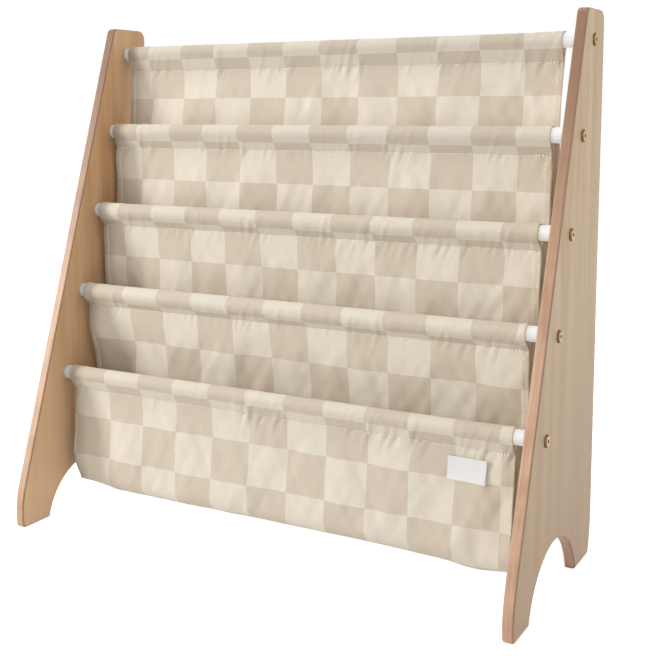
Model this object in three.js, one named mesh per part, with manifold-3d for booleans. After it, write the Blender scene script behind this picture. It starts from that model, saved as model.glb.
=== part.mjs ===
// Sling bookshelf for children: two wooden side panels carry five white rods,
// and four checked cloth slings hang from rod to rod as pockets for books.
// Millimetres, +Z up, X across the shelf, -Y to the front.
// The origin is on the floor, in the middle of the width and of the depth.

import * as THREE from 'three';
import { mergeVertices } from 'three/addons/utils/BufferGeometryUtils.js';
import Module from 'manifold-3d';

const wasm = await Module();
wasm.setup();

// Overall sizes
const shelfWidth = 620;
const panelHeight = 594;
const panelDepth = 254;
const panelTopDepth = 60.4;
const panelThickness = 12;

// Side panel outline
const panelEdgeRound = 2.4;
const frontTopCornerRadius = 8;
const rearTopCornerRadius = 11;
const toeRadius = 110;
const toeHeight = 14;
const heelRadius = 140;
const heelHeight = 45;
const footCornerRadius = 5;
const frontFootLength = 45.5;
const rearFootLength = 57;
const archRise = 58;

// Rods and what fastens them
const rodCount = 5;
const rodDiameter = 16;
const rodWall = 1.4;
const topRodBelowTop = 31.5;
const lowestRodHeight = 172.5;
const topRodSetback = 34.4;
const lowestRodSetback = 37.6;
const boltDiameter = 6;
const boltLength = 32;
const boltHeadDiameter = 13;
const boltHeadThickness = 2;
const boltHeadChamfer = 0.8;
const boltSocketWidth = 4;
const boltSocketDepth = 1.4;
const insertLength = 24;
const insertDiameter = 12.4;
const insertFlange = 0.6;

// Fits
const touchGap = 0.3;
const boltClearance = 0.4;
const cutOverrun = 5;

// Cloth slings, top to bottom
const slingGapLeft = 10.2;
const slingGapRight = 18.7;
const slingLength = 413;
const clothThickness = 0.8;
const stitchDrop = 19;
const hemTail = 8;
const looseCasingSlack = 1.6;
const layerClearance = 1.2;
const pocketRadius = 14;
const lowestPocketRadius = 22;
const lowestFrontHang = 6.5;
const foldHeight = 1.6;
const foldSpacing = 285;
const sidePullIn = 1.5;
// How far behind its rod's axis each casing's seam hangs
const seamSetbacks = [-1, 0.5, 3.5, 5.5, 1];
// How far each sling's back hangs from its rod at the next rod's level, in rod steps
const slingLeanShares = [-0.22, -0.07, 0.13, 0.39];
// How far down a hanging layer its folds have grown to full height
const foldGrowthShare = 0.5;

// Sewn label on the front of the lowest sling
const labelWidth = 43;
const labelHeight = 25.5;
const labelThickness = 0.5;
const labelFromSlingEdge = 31;
const labelBelowRod = 29;

// Facets
const outlineSteps = 6;
const edgeRoundSteps = 2;
const rodSides = 24;
const fastenerSides = 16;
const insertSides = 12;
const hexSides = 6;
const bendSteps = 3;
const casingSteps = 10;
const pocketSteps = 8;
const slingStations = 10;
const labelSteps = 3;

const wood = new THREE.MeshStandardMaterial({ color: '#c3a37f', roughness: 0.6, metalness: 0 });
const powderCoat = new THREE.MeshStandardMaterial({ color: '#f1f1f0', roughness: 0.4, metalness: 0 });
const antiqueBrass = new THREE.MeshStandardMaterial({ color: '#8d6f47', roughness: 0.4, metalness: 1 });
const zincSteel = new THREE.MeshStandardMaterial({ color: '#b9bcbe', roughness: 0.4, metalness: 1 });
const canvas = new THREE.MeshStandardMaterial({ color: '#dccfb8', roughness: 0.9, metalness: 0 });
const satin = new THREE.MeshStandardMaterial({ color: '#f7f6f2', roughness: 0.8, metalness: 0 });

const shelf = new THREE.Group();

function addPiece(name, geometry, material) {
  const mesh = new THREE.Mesh(geometry, material);
  mesh.name = name;
  shelf.add(mesh);
  return mesh;
}

function toSolid(geometry) {
  const bare = geometry.clone();
  bare.deleteAttribute('normal');
  bare.deleteAttribute('uv');
  const merged = mergeVertices(bare);
  return new wasm.Manifold(new wasm.Mesh({
    numProp: 3,
    vertProperties: new Float32Array(merged.attributes.position.array),
    triVerts: new Uint32Array(merged.index.array),
  }));
}

function toGeometry(solid) {
  const mesh = solid.getMesh();
  const geometry = new THREE.BufferGeometry();
  geometry.setAttribute('position', new THREE.BufferAttribute(new Float32Array(mesh.vertProperties), 3));
  geometry.setIndex(new THREE.BufferAttribute(new Uint32Array(mesh.triVerts), 1));
  geometry.computeVertexNormals();
  return geometry;
}

// Side panel: rear edge upright, front edge slanted, a curled toe and heel, an arch between the feet
const rearY = panelDepth / 2;
const toeCentre = new THREE.Vector2(-rearY + toeRadius, toeHeight);
const heelCentre = new THREE.Vector2(rearY - heelRadius, heelHeight);
const frontTop = new THREE.Vector2(rearY - panelTopDepth, panelHeight);
const toTangent = toeCentre.clone().sub(frontTop);
const frontLean = Math.atan2(-toTangent.x, -toTangent.y) + Math.asin(toeRadius / toTangent.length());

// The front edge's straight line, carried on past its ends
function frontEdgeY(height) {
  return frontTop.x - (panelHeight - height) * Math.tan(frontLean);
}

// The little round between a curled end and the floor line: its centre, and its angle on the curl
function footCorner(curlCentre, curlRadius, side) {
  const rise = footCornerRadius - curlCentre.y;
  const reach = Math.sqrt((curlRadius - footCornerRadius) ** 2 - rise ** 2);
  const centre = new THREE.Vector2(curlCentre.x + side * reach, footCornerRadius);
  return { centre, angle: Math.atan2(rise, side * reach) };
}

function panelOutline() {
  const toeCorner = footCorner(toeCentre, toeRadius, -1);
  const heelCorner = footCorner(heelCentre, heelRadius, 1);
  const toeCornerAngle = toeCorner.angle + 2 * Math.PI;
  const archSpan = panelDepth - frontFootLength - rearFootLength;
  const archRadius = ((archSpan / 2) ** 2 + archRise ** 2) / (2 * archRise);
  const archY = -rearY + frontFootLength + archSpan / 2;
  const archDip = Math.asin((archRadius - archRise) / archRadius);
  const frontCorner = new THREE.Vector2(
    frontTop.x + frontTopCornerRadius * (1 - Math.sin(frontLean)) / Math.cos(frontLean),
    panelHeight - frontTopCornerRadius,
  );
  const rearCorner = new THREE.Vector2(rearY - rearTopCornerRadius, panelHeight - rearTopCornerRadius);

  const outline = new THREE.Shape();
  outline.absarc(toeCentre.x, toeCentre.y, toeRadius, Math.PI - frontLean, toeCornerAngle, false);
  outline.absarc(toeCorner.centre.x, toeCorner.centre.y, footCornerRadius, toeCornerAngle, 1.5 * Math.PI, false);
  outline.absarc(archY, archRise - archRadius, archRadius, Math.PI - archDip, Math.PI / 2, true);
  outline.absarc(archY, archRise - archRadius, archRadius, Math.PI / 2, archDip, true);
  outline.absarc(heelCorner.centre.x, heelCorner.centre.y, footCornerRadius, -Math.PI / 2, heelCorner.angle, false);
  outline.absarc(heelCentre.x, heelCentre.y, heelRadius, heelCorner.angle, 0, false);
  outline.absarc(rearCorner.x, rearCorner.y, rearTopCornerRadius, 0, Math.PI / 2, false);
  outline.absarc(frontCorner.x, frontCorner.y, frontTopCornerRadius, Math.PI / 2, Math.PI - frontLean, false);
  return outline;
}

// Rod axes: both end rods are set back from the slanted front edge, the rest are evenly spaced between
const topRodHeight = panelHeight - topRodBelowTop;
const topRodY = frontEdgeY(topRodHeight) + topRodSetback;
const lowestRodY = frontEdgeY(lowestRodHeight) + lowestRodSetback;
const rodAxes = [];
for (let i = 0; i < rodCount; i++) {
  const share = i / (rodCount - 1);
  rodAxes.push(new THREE.Vector2(
    THREE.MathUtils.lerp(topRodY, lowestRodY, share),
    THREE.MathUtils.lerp(topRodHeight, lowestRodHeight, share),
  ));
}
const rodDropStep = rodAxes[0].y - rodAxes[1].y;
const rodForwardStep = rodAxes[0].x - rodAxes[1].x;

// Turns a shape drawn in Y and Z and extruded along its own third axis to lie along X
const alongX = new THREE.Matrix4().makeBasis(
  new THREE.Vector3(0, 1, 0),
  new THREE.Vector3(0, 0, 1),
  new THREE.Vector3(1, 0, 0),
);

function boltHole(axis) {
  const length = panelThickness + 2 * cutOverrun;
  const hole = new THREE.CylinderGeometry(
    boltDiameter / 2 + boltClearance,
    boltDiameter / 2 + boltClearance,
    length,
    fastenerSides,
  );
  hole.rotateZ(Math.PI / 2);
  hole.translate(panelThickness / 2, axis.x, axis.y);
  return toSolid(hole);
}

function panelGeometry() {
  const blank = new THREE.ExtrudeGeometry(panelOutline(), {
    depth: panelThickness - 2 * panelEdgeRound,
    curveSegments: outlineSteps,
    bevelEnabled: true,
    bevelThickness: panelEdgeRound,
    bevelSize: panelEdgeRound,
    bevelOffset: -panelEdgeRound,
    bevelSegments: edgeRoundSteps,
  });
  blank.translate(0, 0, panelEdgeRound);
  blank.applyMatrix4(alongX);
  let panel = toSolid(blank);
  for (const axis of rodAxes) {
    panel = panel.subtract(boltHole(axis));
  }
  return toGeometry(panel);
}

const panelBlank = panelGeometry();
const leftPanel = addPiece('side_panel_left', panelBlank, wood);
leftPanel.position.x = -shelfWidth / 2;
const rightPanel = addPiece('side_panel_right', panelBlank.clone(), wood);
rightPanel.position.x = shelfWidth / 2 - panelThickness;

// A turned piece: its profile is radius and place along its axis, which is laid along X
function turned(profile, sides) {
  const points = profile.map(([radius, place]) => new THREE.Vector2(radius, place));
  const geometry = new THREE.LatheGeometry(points, sides);
  geometry.rotateZ(-Math.PI / 2);
  return geometry;
}

// Rods: powder-coated tubes that butt against the inner faces of the panels
const rodLength = shelfWidth - 2 * panelThickness - 2 * touchGap;
const rodRadius = rodDiameter / 2;
const rodBore = rodRadius - rodWall;

function rodGeometry() {
  return turned([
    [rodBore, -rodLength / 2],
    [rodRadius, -rodLength / 2],
    [rodRadius, rodLength / 2],
    [rodBore, rodLength / 2],
    [rodBore, -rodLength / 2],
  ], rodSides);
}

// Threaded inserts: steel plugs pressed into both ends of each rod, bored for the bolt
function insertGeometry() {
  const bore = boltDiameter / 2 + boltClearance;
  const flange = rodBore - touchGap;
  return turned([
    [bore, 0],
    [flange, 0],
    [flange, insertFlange],
    [insertDiameter / 2, 2 * insertFlange],
    [insertDiameter / 2, insertLength],
    [bore, insertLength],
    [bore, 0],
  ], insertSides);
}

// Bolts: flat chamfered heads with a hex socket, seen on the outer faces of the panels
function boltGeometry() {
  const headRadius = boltHeadDiameter / 2;
  const blank = turned([
    [0, -boltHeadThickness],
    [headRadius - boltHeadChamfer, -boltHeadThickness],
    [headRadius, boltHeadChamfer - boltHeadThickness],
    [headRadius, 0],
    [boltDiameter / 2, 0],
    [boltDiameter / 2, boltLength],
    [0, boltLength],
  ], fastenerSides);
  const socketRadius = boltSocketWidth / 2 / Math.cos(Math.PI / hexSides);
  const socket = new THREE.CylinderGeometry(socketRadius, socketRadius, boltSocketDepth + cutOverrun, hexSides);
  socket.rotateZ(Math.PI / 2);
  socket.translate((boltSocketDepth - cutOverrun) / 2 - boltHeadThickness, 0, 0);
  return toGeometry(toSolid(blank).subtract(toSolid(socket)));
}

const rodBlank = rodGeometry();
const insertBlank = insertGeometry();
const boltBlank = boltGeometry();
rodAxes.forEach((axis, i) => {
  const rod = addPiece(`rod_${i + 1}`, rodBlank.clone(), powderCoat);
  rod.position.set(0, axis.x, axis.y);
  for (const [side, name] of [[-1, 'left'], [1, 'right']]) {
    const insert = addPiece(`rod_insert_${i + 1}_${name}`, insertBlank.clone(), zincSteel);
    insert.position.set(side * rodLength / 2, axis.x, axis.y);
    insert.rotation.z = side > 0 ? Math.PI : 0;
    const bolt = addPiece(`panel_bolt_${i + 1}_${name}`, boltBlank.clone(), antiqueBrass);
    bolt.position.set(side * (shelfWidth / 2 + touchGap), axis.x, axis.y);
    bolt.rotation.z = side > 0 ? Math.PI : 0;
  }
});

// Slings. Each is one strip of canvas. Its upper hem turns over the rod as a casing and is sewn
// below it, the strip hangs down, turns up as a pocket, and ends at the next rod down.
const slingWidth = rodLength - slingGapLeft - slingGapRight;
const slingShift = (slingGapLeft - slingGapRight) / 2;
const layerStep = clothThickness + touchGap;
const tightCasingRadius = rodRadius + touchGap + clothThickness / 2;
const slingCount = rodCount - 1;

// A hanging layer eases from one point to another and leaves both at the slants given
function easedLayer(from, to, startSlant, endSlant) {
  const third = (to.y - from.y) / 3;
  return new THREE.CubicBezierCurve(
    from,
    new THREE.Vector2(from.x + startSlant * third, from.y + third),
    new THREE.Vector2(to.x - endSlant * third, to.y - third),
    to,
  );
}

function ease(path, y, z, startSlant, endSlant) {
  const layer = easedLayer(path.currentPoint.clone(), new THREE.Vector2(y, z), startSlant, endSlant);
  path.bezierCurveTo(layer.v1.x, layer.v1.y, layer.v2.x, layer.v2.y, y, z);
}

// Where a sling hangs at the next rod's level, and its slant there on the way to its pocket
function leanPoint(k) {
  return new THREE.Vector2(
    rodAxes[k].x + slingLeanShares[k] * rodForwardStep,
    rodAxes[k].y - rodDropStep,
  );
}

function leanSlant(k, pocket) {
  return (pocket.back - rodAxes[k].x - seamSetbacks[k]) / (pocket.level - rodAxes[k].y + stitchDrop);
}

// Each pocket's round bottom: the level where the round starts, and the Y of both layers there.
// The lowest hangs free. The others' fronts lie against the back of the sling below them.
const pockets = [];
for (let k = slingCount - 1; k >= 0; k--) {
  const lowest = k === slingCount - 1;
  const radius = lowest ? lowestPocketRadius : pocketRadius;
  const level = (rodAxes[k].y + rodAxes[k + 1].y + Math.PI * radius - slingLength) / 2;
  let front = rodAxes[k + 1].x - lowestFrontHang;
  if (!lowest) {
    const lean = leanPoint(k + 1);
    const nextBottom = new THREE.Vector2(pockets[0].back, pockets[0].level);
    const nextBack = easedLayer(lean, nextBottom, leanSlant(k + 1, pockets[0]), 0);
    const share = (lean.y - level) / (lean.y - nextBottom.y);
    front = nextBack.getPoint(share).x + layerStep + layerClearance;
  }
  pockets.unshift({ level, radius, front, back: front + 2 * radius });
}

// Where a straight leg from a point touches a casing's round: the angle there, on the side asked for
function tangentAngle(centre, radius, point, side) {
  const away = point.clone().sub(centre);
  return Math.atan2(away.y, away.x) + side * Math.acos(radius / away.length());
}

// The line of a sling through its cloth, in Y and Z, from the hem end behind its rod
function slingPath(k) {
  const rod = rodAxes[k];
  const next = rodAxes[k + 1];
  const pocket = pockets[k];
  const lowest = k === slingCount - 1;
  const slack = k === 0 ? 0 : looseCasingSlack / 2;
  const radius = tightCasingRadius + slack;
  const centre = new THREE.Vector2(rod.x, rod.y - slack);
  const seamY = rod.x + seamSetbacks[k];
  const seamZ = rod.y - stitchDrop;
  const rearAngle = tangentAngle(centre, radius, new THREE.Vector2(seamY + layerStep, seamZ), 1);
  const frontAngle = tangentAngle(centre, radius, new THREE.Vector2(seamY, seamZ), -1) + 2 * Math.PI;
  const lean = leanPoint(k);
  const slant = leanSlant(k, pocket);

  const path = new THREE.Path();
  path.moveTo(seamY + layerStep, seamZ - hemTail);
  path.lineTo(seamY + layerStep, seamZ);
  path.absarc(centre.x, centre.y, radius, rearAngle, frontAngle, false);
  path.lineTo(seamY, seamZ);
  path.lineTo(seamY, seamZ - hemTail);
  ease(path, lean.x, lean.y, 0, slant);
  ease(path, pocket.back, pocket.level, slant, 0);
  path.absarc(pocket.back - pocket.radius, pocket.level, pocket.radius, 0, -Math.PI, true);
  if (lowest) {
    const seam = new THREE.Vector2(next.x + seamSetbacks[k + 1], next.y - stitchDrop);
    const rearSeam = new THREE.Vector2(seam.x + layerStep, seam.y);
    const endFrontAngle = tangentAngle(next, tightCasingRadius, seam, -1) + 2 * Math.PI;
    const endRearAngle = tangentAngle(next, tightCasingRadius, rearSeam, 1);
    ease(path, seam.x, seam.y - hemTail, 0, 0);
    path.lineTo(seam.x, seam.y);
    path.absarc(next.x, next.y, tightCasingRadius, endFrontAngle, endRearAngle, true);
    path.lineTo(rearSeam.x, rearSeam.y);
    path.lineTo(rearSeam.x, rearSeam.y - hemTail);
  } else {
    const nextLean = leanPoint(k + 1);
    const nextSlant = leanSlant(k + 1, pockets[k + 1]);
    const endY = next.x + seamSetbacks[k + 1] + 2 * layerStep;
    ease(path, nextLean.x + 2 * layerStep, nextLean.y, 0, nextSlant);
    ease(path, endY, next.y - stitchDrop - hemTail, nextSlant, 0);
    path.lineTo(endY, next.y - stitchDrop);
  }
  return path;
}

// Points along the path: few on straight and eased stretches, more round the casings and the pocket
function slingLine(k) {
  const line = [];
  for (const stretch of slingPath(k).curves) {
    let steps = bendSteps;
    if (stretch.isLineCurve) steps = 1;
    if (stretch.isEllipseCurve) steps = stretch.xRadius === pockets[k].radius ? pocketSteps : casingSteps;
    const points = stretch.getPoints(steps);
    if (stretch.isLineCurve && points[0].distanceTo(points[1]) < touchGap) continue;
    points.slice(line.length ? 1 : 0).forEach((point) => line.push(point));
  }
  return line;
}

// How much of a fold shows at a height: none where the cloth is sewn, all of it lower down
function foldShare(height, rodHeight) {
  const hang = (rodHeight - stitchDrop - hemTail - height) / (foldGrowthShare * rodDropStep);
  return THREE.MathUtils.smoothstep(hang, 0, 1);
}

// The folds' wave at the stations across the cloth, straight between them
function foldWave(across) {
  const place = (across / slingWidth + 1 / 2) * slingStations;
  const station = Math.floor(place);
  const atStation = (j) => Math.cos(2 * Math.PI * slingWidth * (j / slingStations - 1 / 2) / foldSpacing);
  return THREE.MathUtils.lerp(atStation(station), atStation(station + 1), place - station);
}

// A point of the cloth: the hanging layers wave softly forwards and back, and draw in at the sides
function clothPoint(across, y, z, rodHeight) {
  const share = foldShare(z, rodHeight);
  const wave = foldHeight * foldWave(across);
  const drawnIn = 2 * sidePullIn / slingWidth;
  return new THREE.Vector3(slingShift + across * (1 - drawnIn * share), y + wave * share, z);
}

// A thin closed sheet from rows of points, one row for each station across the cloth
function sheetGeometry(rowsFront, rowsBack) {
  const stations = rowsFront.length;
  const count = rowsFront[0].length;
  const corners = [];
  for (let j = 0; j < stations; j++) {
    for (let i = 0; i < count; i++) corners.push(rowsFront[j][i], rowsBack[j][i]);
  }
  const front = (j, i) => 2 * (j * count + i);
  const back = (j, i) => front(j, i) + 1;
  const faces = [];
  const quad = (a, b, c, d) => faces.push(a, b, c, a, c, d);
  for (let j = 0; j + 1 < stations; j++) {
    for (let i = 0; i + 1 < count; i++) {
      quad(front(j, i), front(j + 1, i), front(j + 1, i + 1), front(j, i + 1));
      quad(back(j, i), back(j, i + 1), back(j + 1, i + 1), back(j + 1, i));
    }
    quad(front(j, 0), back(j, 0), back(j + 1, 0), front(j + 1, 0));
    quad(front(j, count - 1), front(j + 1, count - 1), back(j + 1, count - 1), back(j, count - 1));
  }
  for (let i = 0; i + 1 < count; i++) {
    quad(front(0, i), front(0, i + 1), back(0, i + 1), back(0, i));
    quad(front(stations - 1, i), back(stations - 1, i), back(stations - 1, i + 1), front(stations - 1, i + 1));
  }
  const geometry = new THREE.BufferGeometry().setFromPoints(corners);
  geometry.setIndex(faces);
  geometry.computeVertexNormals();
  return geometry;
}

// The two faces of a strip whose middle line is given
function slingGeometry(k) {
  const line = slingLine(k);
  const bottom = line.reduce((low, point, i) => (point.y < line[low].y ? i : low), 0);
  const rowsFront = [];
  const rowsBack = [];
  for (let j = 0; j <= slingStations; j++) {
    const across = slingWidth * (j / slingStations - 1 / 2);
    const frontRow = [];
    const backRow = [];
    line.forEach((point, i) => {
      const before = line[Math.max(i - 1, 0)];
      const after = line[Math.min(i + 1, line.length - 1)];
      const along = after.clone().sub(before).normalize();
      const half = new THREE.Vector2(-along.y, along.x).multiplyScalar(clothThickness / 2);
      const rodHeight = i <= bottom ? rodAxes[k].y : rodAxes[k + 1].y;
      const middle = clothPoint(across, point.x, point.y, rodHeight);
      frontRow.push(new THREE.Vector3(middle.x, middle.y + half.x, middle.z + half.y));
      backRow.push(new THREE.Vector3(middle.x, middle.y - half.x, middle.z - half.y));
    });
    rowsFront.push(frontRow);
    rowsBack.push(backRow);
  }
  return sheetGeometry(rowsFront, rowsBack);
}

for (let k = 0; k < slingCount; k++) {
  addPiece(`sling_${k + 1}`, slingGeometry(k), canvas);
}

// The label lies on the front of the lowest sling and follows it
function frontLayerY(z) {
  const line = slingLine(slingCount - 1);
  const lowest = line.reduce((low, point, i) => (point.y < line[low].y ? i : low), 0);
  const upper = line.findIndex((point, i) => i > lowest && point.y >= z);
  const share = (z - line[upper - 1].y) / (line[upper].y - line[upper - 1].y);
  return THREE.MathUtils.lerp(line[upper - 1].x, line[upper].x, share);
}

function labelGeometry() {
  const rodHeight = rodAxes[rodCount - 1].y;
  const behind = clothThickness / 2 + touchGap;
  const rowsFront = [];
  const rowsBack = [];
  for (let j = 0; j <= labelSteps; j++) {
    const across = slingWidth / 2 - labelFromSlingEdge + labelWidth * (j / labelSteps - 1);
    const frontRow = [];
    const backRow = [];
    for (let i = 0; i <= labelSteps; i++) {
      const z = rodHeight - labelBelowRod - labelHeight * (1 - i / labelSteps);
      const middle = clothPoint(across, frontLayerY(z) - behind, z, rodHeight);
      frontRow.push(new THREE.Vector3(middle.x, middle.y - labelThickness, middle.z));
      backRow.push(middle);
    }
    rowsFront.push(frontRow);
    rowsBack.push(backRow);
  }
  return sheetGeometry(rowsFront, rowsBack);
}

addPiece('sewn_label', labelGeometry(), satin);

export default shelf;
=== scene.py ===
# A sling bookshelf for children: two wooden side panels are joined by five white
# rods, and four strips of checked canvas hang from the rods as pockets for books.
# Metres, +Z up, X across the shelf, -Y to the front, the origin on the floor.

import math
import bmesh
import bpy
from mathutils import Matrix, Vector, noise
from mathutils.geometry import interpolate_bezier


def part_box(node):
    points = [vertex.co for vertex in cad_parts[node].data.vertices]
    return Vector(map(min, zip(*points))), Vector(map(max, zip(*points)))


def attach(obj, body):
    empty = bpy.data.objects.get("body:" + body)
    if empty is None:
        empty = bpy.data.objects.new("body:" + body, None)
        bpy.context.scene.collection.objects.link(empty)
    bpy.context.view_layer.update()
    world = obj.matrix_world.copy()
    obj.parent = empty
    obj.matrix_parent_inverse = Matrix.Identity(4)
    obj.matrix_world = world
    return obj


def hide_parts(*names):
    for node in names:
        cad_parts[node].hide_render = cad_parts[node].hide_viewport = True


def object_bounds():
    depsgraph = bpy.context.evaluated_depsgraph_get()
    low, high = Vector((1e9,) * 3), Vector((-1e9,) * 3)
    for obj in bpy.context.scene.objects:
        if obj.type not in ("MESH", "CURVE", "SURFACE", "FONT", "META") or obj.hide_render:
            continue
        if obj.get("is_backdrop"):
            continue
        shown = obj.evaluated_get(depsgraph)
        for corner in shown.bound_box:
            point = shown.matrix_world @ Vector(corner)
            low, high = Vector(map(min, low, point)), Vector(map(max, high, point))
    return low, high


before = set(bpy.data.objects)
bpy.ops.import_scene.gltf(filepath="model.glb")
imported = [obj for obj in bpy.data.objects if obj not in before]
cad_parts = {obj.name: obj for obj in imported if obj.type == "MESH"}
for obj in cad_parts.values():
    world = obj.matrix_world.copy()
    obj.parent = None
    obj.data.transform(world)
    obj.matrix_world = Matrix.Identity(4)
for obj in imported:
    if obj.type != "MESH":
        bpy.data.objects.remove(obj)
cad_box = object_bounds()
mm = 0.001


# Camera: it stands to the right of the shelf at about the height of the top rods
# and looks slightly down. The lens is shifted so that the shelf fills the picture.
picture_side = 656
focal_length_px = 1106.3
optical_centre_row = 254
camera_place = Vector((628.0, -1053.6, 495.6)) * mm
camera_turn = 0.5046
camera_tilt = 0.1328
camera_roll = -0.0040

camera = bpy.data.objects.new("camera", bpy.data.cameras.new("camera"))
bpy.context.scene.collection.objects.link(camera)
camera.data.lens = focal_length_px / picture_side * camera.data.sensor_width
camera.data.shift_y = (optical_centre_row / picture_side) - 1 / 2
camera.rotation_mode = "QUATERNION"
turn = Matrix.Rotation(camera_turn, 4, "Z")
tilt = Matrix.Rotation(math.pi / 2 - camera_tilt, 4, "X")
roll = Matrix.Rotation(camera_roll, 4, "Z")
camera.matrix_world = Matrix.Translation(camera_place) @ turn @ tilt @ roll
bpy.context.scene.camera = camera
bpy.context.scene.view_settings.view_transform = "Standard"


def linear(hex_colour):
    """An sRGB hex colour as the linear numbers that a shader takes."""
    shares = [int(hex_colour[i:i + 2], 16) / 255 for i in (1, 3, 5)]
    return [s / 12.92 if s <= 0.04045 else ((s + 0.055) / 1.055) ** 2.4 for s in shares] + [1]


def add_node(tree, kind, inputs=None, **settings):
    """A node with its settings, and with a value or a link on each input that is named."""
    node = tree.nodes.new(kind)
    for name, value in settings.items():
        setattr(node, name, value)
    for socket, value in (inputs or {}).items():
        if isinstance(value, bpy.types.NodeSocket):
            tree.links.new(value, node.inputs[socket])
        else:
            node.inputs[socket].default_value = value
    return node


def new_material(name):
    """A material without nodes yet, and its node tree."""
    material = bpy.data.materials.new(name)
    material.use_nodes = True
    material.node_tree.nodes.clear()
    return material, material.node_tree


def directly_seen(tree):
    """1 for a ray from the camera or by way of a gloss or a clear piece, and 0 for any other."""
    rays = add_node(tree, "ShaderNodeLightPath")
    seen = add_node(tree, "ShaderNodeMath", {
        0: rays.outputs["Is Camera Ray"], 1: rays.outputs["Is Glossy Ray"]})
    seen = add_node(tree, "ShaderNodeMath", {
        0: seen.outputs[0], 1: rays.outputs["Is Transmission Ray"]}, use_clamp=True)
    return seen.outputs[0]


# Studio: a pale floor, an even white room, and five large soft lamps, the strongest at the
# front left. Seen directly or in a gloss the room is plain white, but it lights the shelf more
# softly than that. The floor glows by itself where it is seen, and more so further away.
room_colour = linear("#FFFFFF")
room_light = 0.25
floor_size = 40.0
floor_colour = linear("#E4E4E4")
floor_glow_near = 0.68
floor_glow_far = 0.86
floor_glow_start = 0.7
floor_glow_end = 2.6
lamps = {
    "left_lamp": ((-2.2, -1.9, 1.1), 0.8, 45),
    "front_lamp": ((0.6, -2.8, 0.9), 1.2, 16),
    "top_lamp": ((0, -0.3, 2.8), 1.4, 20),
    "right_lamp": ((2.7, 0.3, 1.3), 1.2, 22),
    "back_lamp": ((-0.4, 2.4, 1.9), 1.6, 20),
}
lamp_target = Vector((0, 0, 0.3))

world = bpy.data.worlds.new("studio_room")
bpy.context.scene.world = world
world.use_nodes = True
tree = world.node_tree
tree.nodes.clear()
soft = add_node(tree, "ShaderNodeBackground", {"Color": room_colour, "Strength": room_light})
plain = add_node(tree, "ShaderNodeBackground", {"Color": room_colour, "Strength": 1.0})
mixed = add_node(tree, "ShaderNodeMixShader",
                 {0: directly_seen(tree), 1: soft.outputs[0], 2: plain.outputs[0]})
add_node(tree, "ShaderNodeOutputWorld", {"Surface": mixed.outputs[0]})

bm = bmesh.new()
bmesh.ops.create_grid(bm, x_segments=1, y_segments=1, size=floor_size / 2)
floor_mesh = bpy.data.meshes.new("floor")
bm.to_mesh(floor_mesh)
bm.free()
floor = bpy.data.objects.new("floor", floor_mesh)
bpy.context.scene.collection.objects.link(floor)
floor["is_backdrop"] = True

paper, tree = new_material("studio paper")
coords = add_node(tree, "ShaderNodeTexCoord")
away = add_node(tree, "ShaderNodeVectorMath", {0: coords.outputs["Object"]}, operation="LENGTH")
glow_here = add_node(tree, "ShaderNodeMapRange", {
    "Value": away.outputs["Value"], "From Min": floor_glow_start, "From Max": floor_glow_end,
    "To Min": floor_glow_near, "To Max": floor_glow_far}, interpolation_type="SMOOTHSTEP")
strength = add_node(tree, "ShaderNodeMath", {0: directly_seen(tree), 1: glow_here.outputs[0]},
                    operation="MULTIPLY")
glow = add_node(tree, "ShaderNodeEmission", {"Color": room_colour, "Strength": strength.outputs[0]})
matt = add_node(tree, "ShaderNodeBsdfDiffuse", {"Color": floor_colour})
both = add_node(tree, "ShaderNodeAddShader", {0: glow.outputs[0], 1: matt.outputs[0]})
add_node(tree, "ShaderNodeOutputMaterial", {"Surface": both.outputs[0]})
floor_mesh.materials.append(paper)

for name, (place, size, power) in lamps.items():
    light = bpy.data.lights.new(name, "AREA")
    light.shape = "DISK"
    light.size = size
    light.energy = power
    lamp = bpy.data.objects.new(name, light)
    bpy.context.scene.collection.objects.link(lamp)
    lamp.location = place
    lamp.rotation_mode = "QUATERNION"
    lamp.rotation_quaternion = (lamp_target - Vector(place)).to_track_quat("-Z", "Y")


# Side panels: two boards of light hardwood, sawn to one outline and rounded over all
# round. The front edge slants, the foot has a curled toe and heel and a round arch,
# and five bolt holes follow the slant. The finish is a clear matt lacquer.
panel_top_depth = 60.4 * mm
panel_edge_round = 2.4 * mm
front_top_corner_radius = 8 * mm
rear_top_corner_radius = 11 * mm
toe_radius = 110 * mm
toe_height = 14 * mm
heel_radius = 140 * mm
heel_height = 45 * mm
foot_corner_radius = 5 * mm
front_foot_length = 45.5 * mm
rear_foot_length = 57 * mm
arch_rise = 58 * mm
bolt_hole_radius = 3.4 * mm
corner_steps = 8
long_curve_steps = 20
edge_round_steps = 5
hole_sides = 32
hole_overrun = 5 * mm

panel_low, panel_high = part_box("side_panel_right")
panel_thickness = panel_high.x - panel_low.x
rod_axes = []
for node in ("rod_1", "rod_2", "rod_3", "rod_4", "rod_5"):
    low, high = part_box(node)
    rod_axes.append(Vector(((low.y + high.y) / 2, (low.z + high.z) / 2)))
rod_radius = (high.z - low.z) / 2


def finish_piece(name, bm, material, slot, *nodes):
    """Turns a finished bmesh into a piece that rides with the shelf and stands for the nodes."""
    mesh = bpy.data.meshes.new(name)
    for face in bm.faces:
        face.smooth = True
    bm.to_mesh(mesh)
    bm.free()
    mesh.materials.append(material)
    piece = bpy.data.objects.new(name, mesh)
    bpy.context.scene.collection.objects.link(piece)
    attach(piece, "root")
    if nodes:
        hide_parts(*nodes)
    return piece


def sweep(bm, vertex, centre, angle, steps):
    """Carries the outline on from a vertex along an arc round a centre, given in Y and Z."""
    spun = bmesh.ops.spin(bm, geom=[vertex], cent=(vertex.co.x, *centre), axis=(1, 0, 0),
                          angle=angle, steps=steps, use_duplicate=False)
    return next(item for item in spun["geom_last"] if isinstance(item, bmesh.types.BMVert))


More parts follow.
